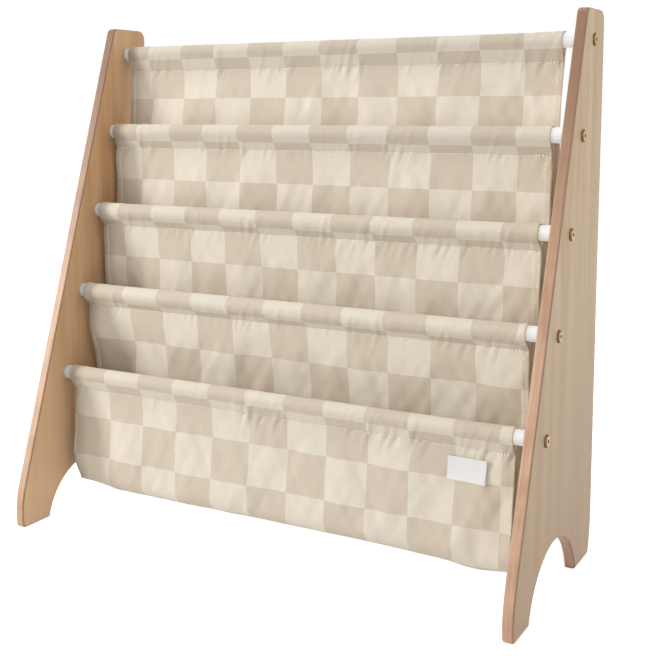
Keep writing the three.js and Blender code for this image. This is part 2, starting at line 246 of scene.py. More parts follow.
def run_to(bm, vertex, place):
    """Carries the outline on from a vertex along a straight line to a place in Y and Z."""
    grown = bmesh.ops.extrude_vert_indiv(bm, verts=[vertex])["verts"][0]
    grown.co = (vertex.co.x, *place)
    return grown


def on_circle(centre, radius, angle):
    return centre + radius * Vector((math.cos(angle), math.sin(angle)))


def foot_corner(curl_centre, curl_radius, side):
    """The small round between a curled end and the floor: its centre, and its angle on the curl."""
    rise = foot_corner_radius - curl_centre.y
    reach = math.sqrt((curl_radius - foot_corner_radius) ** 2 - rise ** 2)
    centre = Vector((curl_centre.x + side * reach, foot_corner_radius))
    return centre, math.atan2(rise, side * reach) % (2 * math.pi)


def panel_outline(bm, x):
    rear, front, top = panel_high.y, panel_low.y, panel_high.z
    toe = Vector((front + toe_radius, toe_height))
    heel = Vector((rear - heel_radius, heel_height))
    front_top = Vector((rear - panel_top_depth, top))
    reach = front_top - toe
    lean = math.atan2(reach.x, reach.y) + math.asin(toe_radius / reach.length)
    toe_corner, toe_angle = foot_corner(toe, toe_radius, -1)
    heel_corner, heel_angle = foot_corner(heel, heel_radius, 1)
    heel_angle -= 2 * math.pi
    span = rear - front - front_foot_length - rear_foot_length
    arch_radius = ((span / 2) ** 2 + arch_rise ** 2) / (2 * arch_rise)
    arch = Vector((front + front_foot_length + span / 2, arch_rise - arch_radius))
    arch_dip = math.asin((arch_radius - arch_rise) / arch_radius)
    slope = (1 - math.sin(lean)) / math.cos(lean)
    front_corner = Vector((front_top.x + front_top_corner_radius * slope, top - front_top_corner_radius))
    rear_corner = Vector((rear - rear_top_corner_radius, top - rear_top_corner_radius))
    up, left, down = math.pi / 2, math.pi, 3 * math.pi / 2

    start = bm.verts.new((x, *on_circle(toe, toe_radius, left - lean)))
    tip = sweep(bm, start, toe, toe_angle - left + lean, long_curve_steps)
    tip = sweep(bm, tip, toe_corner, down - toe_angle, corner_steps)
    tip = run_to(bm, tip, on_circle(arch, arch_radius, left - arch_dip))
    tip = sweep(bm, tip, arch, 2 * arch_dip - left, 2 * long_curve_steps)
    tip = run_to(bm, tip, on_circle(heel_corner, foot_corner_radius, -up))
    tip = sweep(bm, tip, heel_corner, heel_angle + up, corner_steps)
    tip = sweep(bm, tip, heel, -heel_angle, long_curve_steps)
    tip = run_to(bm, tip, on_circle(rear_corner, rear_top_corner_radius, 0))
    tip = sweep(bm, tip, rear_corner, up, corner_steps)
    tip = run_to(bm, tip, on_circle(front_corner, front_top_corner_radius, up))
    tip = sweep(bm, tip, front_corner, up - lean, corner_steps)
    bm.edges.new((tip, start))
    bmesh.ops.contextual_create(bm, geom=bm.edges[:])


def hardwood(name, grain_place, face_colour, streak_colour, edge_colour, foot_tone_and_painted_light):
    """Lacquered beech: straight upright grain with a few pinkish streaks and short darker flecks.
    Towards the foot the colour shades off to a given foot tone, which on the left board is a
    painted pool of light where its foot stands clear of the slings' shade. The sanded edges are
    warmer, with fine lines along them, and darker towards the top. Where they turn to the
    right-hand face they darken with a painted shade. The lacquer gives a low satin gloss."""
    # The patterns in the wood: how far each is drawn out along X, Y and Z, its width, from which
    # value to which it shows and up to what share, and the settings of its noise
    patterns = {
        "year rings": ((1, 1, 0.045), 22 * mm, (0.35, 0.7, 0.75),
                       {"Detail": 3.0, "Roughness": 0.55, "Distortion": 0.6}),
        "fine grain": ((1, 1, 0.012), 1.9 * mm, (0.38, 0.66, 0.42), {"Detail": 2.0, "Roughness": 0.6}),
        "flecks": ((0.35, 1, 0.22), 0.8 * mm, (0.62, 0.72, 0.35), {"Detail": 0.0}),
        "pinkish rays": ((1, 1, 0.05), 4 * mm, (0.56, 0.7, 0.55), {"Detail": 1.0, "Distortion": 0.3}),
        "edge lines": ((1, 0.03, 0.03), 1.5 * mm, (0.4, 0.65, 0.35), {"Detail": 2.0}),
        "edge shades": ((0.2, 1, 1), 30 * mm, (0.4, 0.7, 0.4), {"Detail": 2.0}),
    }
    ray_colour = linear("#BE9C7C")
    burnish_colour = linear("#A37B60")
    upper_edge_colour = linear("#8F6B52")
    # The painted arris shade: the edges darken where they turn towards the right-hand face.
    painted_arris_shade_colour = linear("#8A6750")
    # From where to where other shades grow, and up to what share: by the height, and by how
    # squarely the surface looks along X, which is all of it on the faces and none on the edges
    upper_edge_shading = (250 * mm, 540 * mm, 0.95)
    # Towards the foot: on the left board a painted pool of light, on the right board a darker tone.
    foot_tone_and_painted_light_growth = (400 * mm, 60 * mm, 0.7)
    painted_arris_shade_growth = (0.15, 0.7, 0.8)
    face_turn = (0.9, 0.985, 1)

    material, tree = new_material(name)
    coords = add_node(tree, "ShaderNodeTexCoord")
    board = add_node(tree, "ShaderNodeMapping", {0: coords.outputs["Object"], "Location": grain_place})
    height = add_node(tree, "ShaderNodeSeparateXYZ", {0: coords.outputs["Object"]}).outputs[2]
    rightward = add_node(tree, "ShaderNodeSeparateXYZ", {0: coords.outputs["Normal"]}).outputs[0]
    facing = add_node(tree, "ShaderNodeMath", {0: rightward}, operation="ABSOLUTE").outputs[0]
    growths = {"upper edge": (height, upper_edge_shading), "foot": (height, foot_tone_and_painted_light_growth),
               "painted arris shade": (rightward, painted_arris_shade_growth), "face": (facing, face_turn)}
    for pattern, (stretch, width, growth, settings) in patterns.items():
        drawn = add_node(tree, "ShaderNodeMapping", {0: board.outputs[0], "Scale": stretch})
        found = add_node(tree, "ShaderNodeTexNoise", {
            "Vector": drawn.outputs[0], "Scale": 1 / width, **settings})
        growths[pattern] = (found.outputs[0], growth)
    shares = {}
    for shade, (value, (start, end, most)) in growths.items():
        shares[shade] = add_node(tree, "ShaderNodeMapRange", {
            "Value": value, "From Min": start, "From Max": end, "To Max": most}).outputs[0]
    streaks = add_node(tree, "ShaderNodeMath", {0: shares["year rings"], 1: shares["fine grain"]})
    streaks = add_node(tree, "ShaderNodeMath", {0: streaks.outputs[0], 1: shares["flecks"]}, use_clamp=True)
    burnished = add_node(tree, "ShaderNodeMath", {0: shares["edge lines"], 1: shares["edge shades"]},
                         use_clamp=True)

    # Colour over colour on the faces and on the edges, and then the one beside the other
    grain, edge = linear(face_colour), linear(edge_colour)
    for share, colour in ((streaks.outputs[0], linear(streak_colour)), (shares["pinkish rays"], ray_colour),
                          (shares["foot"], linear(foot_tone_and_painted_light))):
        grain = add_node(tree, "ShaderNodeMix", {0: share, 6: grain, 7: colour}, data_type="RGBA").outputs[2]
    for share, colour in ((burnished.outputs[0], burnish_colour), (shares["upper edge"], upper_edge_colour),
                          (shares["painted arris shade"], painted_arris_shade_colour)):
        edge = add_node(tree, "ShaderNodeMix", {0: share, 6: edge, 7: colour}, data_type="RGBA").outputs[2]
    colour = add_node(tree, "ShaderNodeMix", {0: shares["face"], 6: edge, 7: grain}, data_type="RGBA")
    bump = add_node(tree, "ShaderNodeBump", {
        "Height": streaks.outputs[0], "Strength": 0.12, "Distance": 0.2 * mm})
    shader = add_node(tree, "ShaderNodeBsdfPrincipled", {
        "Base Color": colour.outputs[2], "Roughness": 0.5, "Normal": bump.outputs[0],
        "Coat Weight": 0.15, "Coat Roughness": 0.35})
    add_node(tree, "ShaderNodeOutputMaterial", {"Surface": shader.outputs[0]})
    return material


hole_cutter = bmesh.new()
for axis in rod_axes:
    across = Matrix.Translation((0, *axis)) @ Matrix.Rotation(math.pi / 2, 4, "Y")
    bmesh.ops.create_cone(hole_cutter, cap_ends=True, segments=hole_sides, radius1=bolt_hole_radius,
                          radius2=bolt_hole_radius, depth=2 * panel_high.x + hole_overrun, matrix=across)
cutter_mesh = bpy.data.meshes.new("hole_cutter")
hole_cutter.to_mesh(cutter_mesh)
hole_cutter.free()
cutter = bpy.data.objects.new("hole_cutter", cutter_mesh)
bpy.context.scene.collection.objects.link(cutter)

# The last colour of each board is its foot tone: a painted pool of light on the left board, a darker tone on
# the right.
beech = {
    "left": hardwood("lacquered beech, left board", (0.31, 0.42, 0.17),
                     "#DAAF82", "#C09366", "#D6AA87", "#E6C29A"),
    "right": hardwood("lacquered beech, right board", (2.13, 0.07, 1.31),
                      "#D4B996", "#B89970", "#D3A98A", "#9F7E5A"),
}
for side, wood in beech.items():
    node = f"side_panel_{side}"
    bm = bmesh.new()
    panel_outline(bm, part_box(node)[0].x)
    sides = bmesh.ops.extrude_face_region(bm, geom=bm.faces[:])["geom"]
    far_side = [item for item in sides if isinstance(item, bmesh.types.BMVert)]
    bmesh.ops.translate(bm, verts=far_side, vec=(panel_thickness, 0, 0))
    bmesh.ops.recalc_face_normals(bm, faces=bm.faces)
    rims = [edge for edge in bm.edges if any(abs(face.normal.x) > 1 / 2 for face in edge.link_faces)]
    bmesh.ops.bevel(bm, geom=rims, offset=panel_edge_round, offset_type="OFFSET", affect="EDGES",
                    segments=edge_round_steps, profile=0.5, material=-1)
    panel = finish_piece(f"side_board_{side}", bm, wood, "wood_panel", node)
    drill = panel.modifiers.new("bolt_holes", "BOOLEAN")
    drill.object = cutter
    drill.solver = "EXACT"
    soften = panel.modifiers.new("even_shading", "WEIGHTED_NORMAL")
    soften.keep_sharp = True
    baked = bpy.data.meshes.new_from_object(panel.evaluated_get(bpy.context.evaluated_depsgraph_get()))
    panel.modifiers.clear()
    panel.data = baked
bpy.data.objects.remove(cutter)


# Rods: five steel tubes, butted between the panels and powder-coated white. The coat
# is satin, with a faint orange peel, and glows a little bluish by itself, which is painted
# light. The rods' left ends turn a dull grey, a painted shade for the left panel's shadow.
rod_wall = 1.4 * mm
rod_end_round = 0.3 * mm
rod_sides = 64
orange_peel_width = 1.6 * mm
# Painted shade at the rods' left ends, which stand in the left panel's shadow: where it starts and ends along
# X, how much, and its grey.
painted_rod_shade_start = -290 * mm
painted_rod_shade_end = -282 * mm
painted_rod_shade_share = 0.75
painted_rod_shade_colour = linear("#B2AEAC")

powder_coat, tree = new_material("white powder coat")
coords = add_node(tree, "ShaderNodeTexCoord")
peel = add_node(tree, "ShaderNodeTexNoise", {
    "Vector": coords.outputs["Object"], "Scale": 1 / orange_peel_width, "Detail": 1.0})
tint = add_node(tree, "ShaderNodeMix", {
    0: peel.outputs[0], 6: linear("#F6FBFF"), 7: linear("#FDFEFF")}, data_type="RGBA")
place = add_node(tree, "ShaderNodeSeparateXYZ", {0: coords.outputs["Object"]})
# Painted shade: the left ends turn grey.
painted_rod_shade = add_node(tree, "ShaderNodeMapRange", {
    "Value": place.outputs[0], "From Min": painted_rod_shade_end, "From Max": painted_rod_shade_start, "To Max": painted_rod_shade_share})
tint = add_node(tree, "ShaderNodeMix", {
    0: painted_rod_shade.outputs[0], 6: tint.outputs[2], 7: painted_rod_shade_colour}, data_type="RGBA")
bump = add_node(tree, "ShaderNodeBump", {
    "Height": peel.outputs[0], "Strength": 0.15, "Distance": 0.05 * mm})
# The bluish emission is painted light: the coat glows though it is no lamp.
shader = add_node(tree, "ShaderNodeBsdfPrincipled", {
    "Base Color": tint.outputs[2], "Roughness": 0.28, "Normal": bump.outputs[0],
    "Specular IOR Level": 0.8, "Emission Color": linear("#DCEBFF"), "Emission Strength": 0.14})
add_node(tree, "ShaderNodeOutputMaterial", {"Surface": shader.outputs[0]})


def turned_ring(bm, profile, axis):
    """A closed ring, turned about a line along X. The profile is places along X and radii."""
    points = [bm.verts.new((x, axis.x, axis.y + radius)) for x, radius in profile]
    edges = [bm.edges.new(pair) for pair in zip(points, points[1:] + points[:1])]
    bmesh.ops.spin(bm, geom=points + edges, cent=(0, *axis), axis=(1, 0, 0), angle=2 * math.pi,
                   steps=rod_sides, use_merge=True, use_duplicate=False)
    bmesh.ops.remove_doubles(bm, verts=bm.verts, dist=0.01 * mm)
    bmesh.ops.recalc_face_normals(bm, faces=bm.faces)


for number, axis in enumerate(rod_axes, 1):
    low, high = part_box(f"rod_{number}")
    outside, inside, nip = rod_radius, rod_radius - rod_wall, rod_end_round
    bm = bmesh.new()
    turned_ring(bm, [
        (low.x, inside + nip), (low.x, outside - nip), (low.x + nip, outside),
        (high.x - nip, outside), (high.x, outside - nip), (high.x, inside + nip),
        (high.x - nip, inside), (low.x + nip, inside)], axis)
    finish_piece(f"coated_rod_{number}", bm, powder_coat, "rod_coating", f"rod_{number}")


# Threaded inserts: zinc-plated steel plugs pressed into the ends of the rods, where
# only a gap's width shows. The zinc is a soft, slightly blotched grey.
zinc_spangle_width = 2.5 * mm

zinc, tree = new_material("zinc-plated steel")
coords = add_node(tree, "ShaderNodeTexCoord")
spangle = add_node(tree, "ShaderNodeTexNoise", {
    "Vector": coords.outputs["Object"], "Scale": 1 / zinc_spangle_width, "Detail": 2.0})
tint = add_node(tree, "ShaderNodeMix", {
    0: spangle.outputs[0], 6: linear("#A9ADB0"), 7: linear("#C3C7CA")}, data_type="RGBA")
gloss = add_node(tree, "ShaderNodeMapRange", {
    "Value": spangle.outputs[0], "To Min": 0.3, "To Max": 0.45})
shader = add_node(tree, "ShaderNodeBsdfPrincipled", {
    "Base Color": tint.outputs[2], "Roughness": gloss.outputs[0], "Metallic": 1.0})
add_node(tree, "ShaderNodeOutputMaterial", {"Surface": shader.outputs[0]})
for name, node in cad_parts.items():
    if name.startswith("rod_insert"):
        node.material_slots[0].material = zinc


# Bolts: flat-headed furniture bolts through the panels into the inserts, steel plated
# in antique brass. The hex socket and the rim keep the dark patina, the face is rubbed.
bolt_sides = 48
bolt_radius = 3 * mm
head_thickness = 2 * mm
head_chamfer = 0.8 * mm
rim_round = 0.2 * mm
socket_width = 4 * mm
socket_depth = 1.4 * mm
socket_side = math.pi / 3
patina_width = 1.1 * mm
sharp_bolt_angle = math.radians(38)

brass, tree = new_material("antique brass plating")
coords = add_node(tree, "ShaderNodeTexCoord")
patina = add_node(tree, "ShaderNodeTexNoise", {
    "Vector": coords.outputs["Object"], "Scale": 1 / patina_width, "Detail": 3.0})
axes = add_node(tree, "ShaderNodeSeparateXYZ", {0: coords.outputs["Normal"]})
facing = add_node(tree, "ShaderNodeMath", {0: axes.outputs[0]}, operation="ABSOLUTE")
rubbed = add_node(tree, "ShaderNodeMapRange", {
    "Value": facing.outputs[0], "From Min": 0.9, "From Max": 1.0})
rubbed = add_node(tree, "ShaderNodeMath", {0: rubbed.outputs[0], 1: patina.outputs[0]}, operation="MULTIPLY")
tint = add_node(tree, "ShaderNodeMix", {
    0: rubbed.outputs[0], 6: linear("#735A3A"), 7: linear("#EAD5AC")}, data_type="RGBA")
gloss = add_node(tree, "ShaderNodeMapRange", {
    "Value": patina.outputs[0], "To Min": 0.28, "To Max": 0.5})
shader = add_node(tree, "ShaderNodeBsdfPrincipled", {
    "Base Color": tint.outputs[2], "Roughness": gloss.outputs[0], "Metallic": 1.0})
add_node(tree, "ShaderNodeOutputMaterial", {"Surface": shader.outputs[0]})


def socket_radius(angle):
    """How far a hex socket reaches from its middle at an angle."""
    return socket_width / 2 / math.cos((angle + socket_side / 2) % socket_side - socket_side / 2)


for number, axis in enumerate(rod_axes, 1):
    for side, name in ((-1, "left"), (1, "right")):
        low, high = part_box(f"panel_bolt_{number}_{name}")
        face, tip = (high.x, low.x) if side > 0 else (low.x, high.x)
        head_radius = (high.z - low.z) / 2
        seat = face - side * head_thickness
        rings = [
            (face, None), (face, head_radius - head_chamfer - rim_round),
            (face - side * rim_round / 2, head_radius - head_chamfer),
            (face - side * head_chamfer, head_radius - rim_round / 2),
            (face - side * (head_chamfer + rim_round), head_radius),
            (seat, head_radius), (seat, bolt_radius), (tip, bolt_radius)]
        bm = bmesh.new()
        bmesh.ops.create_circle(bm, cap_ends=True, segments=bolt_sides, radius=1)
        ring = bm.verts[:]
        angles = [math.atan2(vertex.co.y, vertex.co.x) for vertex in ring]
        for vertex, angle in zip(ring, angles):
            place = axis + socket_radius(angle) * Vector((math.cos(angle), math.sin(angle)))
            vertex.co = (face - side * socket_depth, *place)
        edges = bm.edges[:]
        for x, radius in rings:
            grown = bmesh.ops.extrude_edge_only(bm, edges=edges)["geom"]
            edges = [item for item in grown if isinstance(item, bmesh.types.BMEdge)]
            for vertex in [item for item in grown if isinstance(item, bmesh.types.BMVert)]:
                away = Vector((vertex.co.y, vertex.co.z)) - axis
                reach = away.length if radius is None else radius
                vertex.co = (x, *(axis + away.normalized() * reach))
        edges = [edge for edge in edges if edge.is_boundary]
        bmesh.ops.contextual_create(bm, geom=edges)
        bmesh.ops.recalc_face_normals(bm, faces=bm.faces)
        bolt = finish_piece(f"brass_bolt_{number}_{name}", bm, brass, "bolt_brass",
                            f"panel_bolt_{number}_{name}")
        for polygon in bolt.data.polygons:
            polygon.use_smooth = len(polygon.vertices) < bolt_sides
        bolt.data.set_sharp_from_angle(angle=sharp_bolt_angle)


# Slings: four strips of cotton canvas with hemmed sides. A casing is sewn round the upper rod
# with one line of stitches, the strip hangs down in long soft folds, turns up as a pocket, and
# its end is caught in the next seam. The lowest has a second casing instead.
cloth_thickness = 0.8 * mm
touch_gap = 0.3 * mm
sling_length = 413 * mm
stitch_drops = (22 * mm, 20.5 * mm, 19 * mm, 19 * mm, 19 * mm)
hem_tail = 8 * mm
seam_setbacks = (-1 * mm, 0.5 * mm, 3.5 * mm, 5.5 * mm, 1 * mm)
loose_casing_slack = 1.6 * mm
layer_clearance = 1.2 * mm
pocket_radius = 14 * mm
lowest_pocket_radius = 22 * mm
lowest_front_hang = 6.5 * mm
sling_lean_shares = (-0.22, -0.07, 0.13, 0.39)
fold_height = 1.6 * mm
fold_spacing = 285 * mm
fold_growth_share = 0.3
billow_height = 4.4 * mm
billow_size = (36 * mm, 80 * mm)
wrinkle_height = 1.6 * mm
wrinkle_size = (13 * mm, 48 * mm)
wrinkle_lean = 0.5
other_ruffles_per_curtain = 17.3
other_ruffles_per_lean = 5.1
gather_height = 3.4 * mm
gather_size = (5.2 * mm, 34 * mm)
gather_lean = 0.45
gather_run = 28 * mm
least_gather_share = 0.2
least_gather_run_share = 0.35
gather_valley_width = 0.2
gather_valley_depth = 0.25
bunch_width = 46 * mm
bunch_range = (-0.35, 0.3)
other_bunches_per_curtain = 9.7
casing_gather_share = 0.55
casing_gather_start = 0.25
rear_gather_end = 0.6
seam_pinch = 0.28 * mm
seam_pinch_reach = 0.9 * mm
side_pull_in = 1.5 * mm
casing_spreads = (2 * mm, 2.5 * mm, 2.5 * mm, 2.5 * mm, 0)
left_spreads = (5 * mm, 7.5 * mm, 7 * mm, 8 * mm, 2 * mm)
left_spread_length = 45 * mm
left_spread_start = 5 * mm
left_spread_end = 45 * mm
side_hems = ((9.5 * mm, 0.3 * mm), (33 * mm, 0.35 * mm))
hem_step_width = 1.2 * mm
pocket_crease = Vector((-37 * mm, 37 * mm))
pocket_crease_top = 66 * mm
pocket_crease_length = 60 * mm
pocket_end_pull_in = 5 * mm
pocket_calm = 0.75
pocket_lift = 2.2 * mm
pocket_lift_end = (120 * mm, 200 * mm)
pocket_droop = 4.3 * mm
pocket_droop_place = 242 * mm
pocket_droop_half_width = 26 * mm
# Painted shade: how much darker each curtain's band between casing and seam is drawn, for the light that
# cannot pass two layers of cloth, and a lighter painted shade over a few rows below the seam.
painted_band_shades = (0.16, 0.15, 0.12, 0.07, 0.08)
painted_tail_shade = 0.055
painted_tail_shade_rows = 6
# Painted shadow along each strip's left edge, for the left panel's shadow on the cloth: how dark it is at the
# edge, and over what width it fades.
painted_left_shadow = 0.36
painted_left_shadow_fade = 22 * mm
check_cell = 50 * mm
nearest_steps = 200
leg_steps = 7
casing_steps = 22
tail_steps = 3
upper_steps = 17
lower_steps = 24
pocket_steps = 20

sling_low, sling_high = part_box("sling_1")
sling_width = sling_high.x - sling_low.x
sling_middle = (sling_high.x + sling_low.x) / 2
layer_step = cloth_thickness + touch_gap
casing_radius = rod_radius + touch_gap + cloth_thickness / 2
rod_step = rod_axes[0] - rod_axes[1]
lowest_sling = len(rod_axes) - 2


def smooth_share(value, start, end):
    share = min(max((value - start) / (end - start), 0), 1)
    return share * share * (3 - 2 * share)


def eased_layer(start, end, start_slant, end_slant, steps):
    """Points of a hanging layer that leaves both ends at the slants given, the first left out."""
    third = (end.y - start.y) / 3
    after_start = Vector((start.x + start_slant * third, start.y + third))
    before_end = Vector((end.x - end_slant * third, end.y - third))
    return interpolate_bezier(start, after_start, before_end, end, steps + 1)[1:]


def lean_point(k):
    """Where a sling's back hangs at the next rod's level, in Y and Z."""
    return Vector((rod_axes[k].x + sling_lean_shares[k] * rod_step.x, rod_axes[k].y - rod_step.y))


def lean_slant(k):
    pocket = pockets[k]
    seam = rod_axes[k] + Vector((seam_setbacks[k], -stitch_drops[k]))
    return (pocket["back"] - seam.x) / (pocket["level"] - seam.y)


# Each pocket's round bottom: the level where it starts and the Y of both layers there
pockets = {}
for k in range(lowest_sling, -1, -1):
    radius = lowest_pocket_radius if k == lowest_sling else pocket_radius
    level = (rod_axes[k].y + rod_axes[k + 1].y + math.pi * radius - sling_length) / 2
    front = rod_axes[k + 1].x - lowest_front_hang
    if k < lowest_sling:
        lean = lean_point(k + 1)
        bottom = Vector((pockets[k + 1]["back"], pockets[k + 1]["level"]))
        line = eased_layer(lean, bottom, lean_slant(k + 1), 0, nearest_steps)
        nearest = min(line, key=lambda point: abs(point.y - level))
        front = nearest.x + layer_step + layer_clearance
    pockets[k] = {"radius": radius, "level": level, "front": front, "back": front + 2 * radius}


def touching_angle(centre, radius, point, side):
    """The angle on a casing's round where a straight leg from a point touches it."""
    away = point - centre
    return math.atan2(away.y, away.x) + side * math.acos(radius / away.length)


def casing_rows(k, centre, radius, front_seam, rear_seam):
    """Rows of a casing from its rear seam over the rod to its front seam. Each row has its
    place, its curtain, how far a gather pushes it, and which way."""
    forward = Vector((-1, 0))
    rear_angle = touching_angle(centre, radius, rear_seam, 1)
    front_angle = touching_angle(centre, radius, front_seam, -1) + 2 * math.pi
    rear_touch = on_circle(centre, radius, rear_angle)
    front_touch = on_circle(centre, radius, front_angle)
    rows = []
    for i in range(leg_steps):
        share = i / leg_steps
        pushed = 1 - smooth_share(share, 0, rear_gather_end)
        rows.append((rear_seam.lerp(rear_touch, share), k, pushed, forward))
    for i in range(casing_steps):
        share = i / casing_steps
        place = on_circle(centre, radius, rear_angle + (front_angle - rear_angle) * share)
        pushed = casing_gather_share * smooth_share(share, casing_gather_start, 1)
        rows.append((place, k, pushed, (place - centre).normalized()))
    pinch_share = 1 - seam_pinch_reach / (front_seam - front_touch).length
    for share in [i / leg_steps for i in range(leg_steps)] + [pinch_share]:
        away = (front_touch - centre).normalized().lerp(forward, share)
        pushed = casing_gather_share + (1 - casing_gather_share) * share
        rows.append((front_touch.lerp(front_seam, share), k, pushed, away))
    rows.append((front_seam + Vector((seam_pinch, 0)), k, 1, forward))
    return rows


def sling_rows(k):
    """All rows of a strip in the order of the cloth, from the hem end behind its rod."""
    forward = Vector((-1, 0))
    rod, next_rod, pocket = rod_axes[k], rod_axes[k + 1], pockets[k]
    slack = loose_casing_slack / 2 if k else 0
    seam = rod + Vector((seam_setbacks[k], -stitch_drops[k]))
    rear_seam = seam + Vector((layer_step, 0))
    tail = Vector((0, -hem_tail))
    rows = []

    def hang(curtain, points):
        rows.extend((point, curtain, 1, forward) for point in points)

    hang(k, [rear_seam + tail * (1 - i / tail_steps) for i in range(tail_steps)])
    rows.extend(casing_rows(k, rod - Vector((0, slack)), casing_radius + slack, seam, rear_seam))
    seam_rows[k] = (rows[-1], rows[tail_steps])
    below_pinch = Vector((0, -seam_pinch_reach))
    hang(k, [seam + below_pinch] + [seam + tail * (i + 1) / tail_steps for i in range(tail_steps)])
    lean, back = lean_point(k), Vector((pocket["back"], pocket["level"]))
    hang(k, eased_layer(rows[-1][0], lean, 0, lean_slant(k), upper_steps))
    hang(k, eased_layer(lean, back, lean_slant(k), 0, lower_steps))
    middle = back - Vector((pocket["radius"], 0))
    for i in range(1, pocket_steps + 1):
        share = i / pocket_steps
        rows.append((on_circle(middle, pocket["radius"], -math.pi * share), k + share, 1, forward))
    front = rows[-1][0]
    if k == lowest_sling:
        seam = next_rod + Vector((seam_setbacks[k + 1], -stitch_drops[k + 1]))
        rear_seam = seam + Vector((layer_step, 0))
        hang(k + 1, eased_layer(front, seam + tail, 0, 0, upper_steps))
        hang(k + 1, [seam + tail * (1 - i / tail_steps) for i in range(1, tail_steps)])
        hang(k + 1, [seam + below_pinch])
        casing = casing_rows(k + 1, next_rod, casing_radius, seam, rear_seam)[::-1]
        seam_rows[k + 1] = (casing[0], casing[-1])
        rows.extend(casing)
        hang(k + 1, [rear_seam + tail * (i + 1) / tail_steps for i in range(tail_steps)])
    else:
        lean = lean_point(k + 1) + Vector((2 * layer_step, 0))
        end = next_rod + Vector((seam_setbacks[k + 1] + 2 * layer_step, -stitch_drops[k + 1]))
        hang(k + 1, eased_layer(front, lean, 0, lean_slant(k + 1), upper_steps))
        hang(k + 1, eased_layer(lean, end + tail, lean_slant(k + 1), 0, upper_steps))
        hang(k + 1, [end + tail * (1 - (i + 1) / tail_steps) for i in range(tail_steps)])
        caught_rows[k + 1] = rows[-1]
    return rows


# Single soft creases: curtain, place across, depth below the rod, half length,
# half width, slope, and height forward
creases = (
    (4, -190 * mm, 95 * mm, 26 * mm, 7 * mm, 0.9, 1.6 * mm),
    (4, -168 * mm, 100 * mm, 24 * mm, 8 * mm, 0.7, -1.4 * mm),
    (4, 232 * mm, 108 * mm, 30 * mm, 9 * mm, -0.5, 1.8 * mm),
    (4, 60 * mm, 96 * mm, 60 * mm, 14 * mm, 0.15, 1.2 * mm),
    (3, -262 * mm, 60 * mm, 34 * mm, 8 * mm, 1.4, 1.5 * mm),
    (2, -266 * mm, 62 * mm, 30 * mm, 7 * mm, 1.5, 1.5 * mm),
    (1, -262 * mm, 58 * mm, 30 * mm, 8 * mm, 1.3, 1.3 * mm),
    (3, 250 * mm, 66 * mm, 36 * mm, 9 * mm, -1.3, 1.4 * mm),
    (2, 244 * mm, 62 * mm, 32 * mm, 8 * mm, -1.4, 1.4 * mm),
)


def fold_share(curtain, z):
    """How much of a curtain's folds shows at a height: none at the seam, all lower down."""
    sewn = rod_axes[curtain].y - stitch_drops[curtain] - hem_tail
    return smooth_share(sewn - z, 0, fold_growth_share * rod_step.y)


def left_spread(curtain, z):
    """How far a curtain's left edge reaches out: most below its casing, where it is less gathered."""
    share = smooth_share(rod_axes[curtain].y - z, left_spread_start, left_spread_end)
    return casing_spreads[curtain] * (1 - share) + left_spreads[curtain] * share


def ruffle(curtain, across, depth, size, lean=0):
    """An even unevenness of the cloth, from about -1 to 1, drawn out downwards and leaned over."""
    width, length = size
    layer = other_ruffles_per_curtain * curtain + other_ruffles_per_lean * lean
    return noise.noise(((across + lean * depth) / width, depth / length, layer))


def fold_push(curtain, across, z):
    """How far a curtain's folds move the cloth along Y."""
    depth = rod_axes[curtain].y - z
    push = fold_height * math.cos(2 * math.pi * across / fold_spacing)
    push += billow_height * ruffle(curtain, across, depth, billow_size)
    for lean in (-wrinkle_lean, wrinkle_lean):
        push += wrinkle_height * ruffle(curtain, across, depth, wrinkle_size, lean)
    for where, middle, level, half_length, half_width, slope, height in creases:
        if where == curtain:
            right, down = across - middle, depth - level
            size = math.hypot(1, slope)
            on, off = (right * slope + down) / size, (right - down * slope) / size
            push -= height * math.exp(-(on / half_length) ** 2 - (off / half_width) ** 2)
    return push * fold_share(curtain, z)


def gather(curtain, across, z):
    """How far the gathers along a seam push the cloth out: round ridges with sharp valleys,
    in bunches, that run out below the seam."""
    below = rod_axes[curtain].y - stitch_drops[curtain] - z
    bunch = noise.noise((across / bunch_width, other_bunches_per_curtain * curtain, 0))
    bunch = smooth_share(bunch, *bunch_range)
    run = gather_run * (least_gather_run_share + (1 - least_gather_run_share) * bunch)
    ridge = ruffle(curtain, across, below, gather_size, gather_lean)
    ridge -= gather_valley_depth * max(1 - abs(ridge) / gather_valley_width, 0)
    height = gather_height * (least_gather_share + (1 - least_gather_share) * bunch)
    return height * ridge * (1 - smooth_share(below, 0, run))


def creased_place(row):
    """Where a row of the lowest pocket lies at its left end, folded flat to a sharp crease."""
    pocket = pockets[lowest_sling]
    front, back = Vector((pocket["front"], pocket_crease_top)), Vector((pocket["back"], pocket_crease_top))
    straight, round_length = pocket_crease_top - pocket["level"], math.pi * pocket["radius"]
    turned = min(max(row[1] - lowest_sling, 0), 1)
    from_front = straight + round_length * (1 - turned)
    if turned in (0, 1):
        below_top = pocket_crease_top - row[0].y
        from_front = below_top if turned else 2 * straight + round_length - below_top
    front_leg = (pocket_crease - front).length
    if from_front < front_leg:
        return front.lerp(pocket_crease, from_front / front_leg)
    rear_share = (from_front - front_leg) / (2 * straight + round_length - front_leg)
    return pocket_crease.lerp(back, rear_share)


